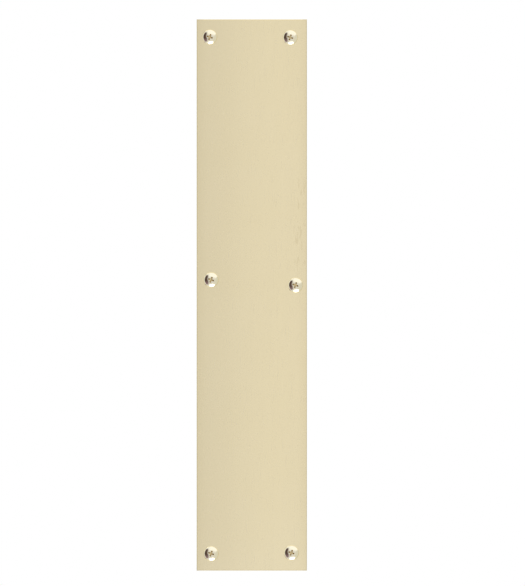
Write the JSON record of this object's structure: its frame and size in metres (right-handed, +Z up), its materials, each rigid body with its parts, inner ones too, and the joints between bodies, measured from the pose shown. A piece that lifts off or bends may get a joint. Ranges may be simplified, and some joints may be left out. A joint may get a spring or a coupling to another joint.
{
  "type": "kick plate",
  "caption": "Long narrow rectangular kick plate of thin polished brass sheet, its edges bevelled, held by dome-head cross-recess wood screws along both long edges.",
  "frame": {"origin": "centre of the plate's back face, the face that lies against the door", "axes": "+Z up along the plate's length, +X across it to the right as seen from the front, +Y out of the back face into the door, so that the polished face and the screw heads face -Y"},
  "size_m": [0.1524, 0.0371, 0.762],
  "materials": {
    "plate_brass": "polished and clear-lacquered, fine lengthwise buffing lines",
    "screw_brass": "bright polished, tarnished in the recess and thread"
  },
  "bodies": {
    "plate": {"plate": "plate_brass"},
    "screw_top_left": {"screw_top_left": "screw_brass"},
    "screw_top_right": {"screw_top_right": "screw_brass"},
    "screw_middle_left": {"screw_middle_left": "screw_brass"},
    "screw_middle_right": {"screw_middle_right": "screw_brass"},
    "screw_bottom_left": {"screw_bottom_left": "screw_brass"},
    "screw_bottom_right": {"screw_bottom_right": "screw_brass"}
  },
  "joints": [
    {"name": "screw_top_left_draw", "type": "slide", "parent": "plate", "child": "screw_top_left", "axis": [0, -1, 0], "range_m": [0, 0.031]},
    {"name": "screw_top_right_draw", "type": "slide", "parent": "plate", "child": "screw_top_right", "axis": [0, -1, 0], "range_m": [0, 0.031]},
    {"name": "screw_middle_left_draw", "type": "slide", "parent": "plate", "child": "screw_middle_left", "axis": [0, -1, 0], "range_m": [0, 0.031]},
    {"name": "screw_middle_right_draw", "type": "slide", "parent": "plate", "child": "screw_middle_right", "axis": [0, -1, 0], "range_m": [0, 0.031]},
    {"name": "screw_bottom_left_draw", "type": "slide", "parent": "plate", "child": "screw_bottom_left", "axis": [0, -1, 0], "range_m": [0, 0.031]},
    {"name": "screw_bottom_right_draw", "type": "slide", "parent": "plate", "child": "screw_bottom_right", "axis": [0, -1, 0], "range_m": [0, 0.031]}
  ]
}
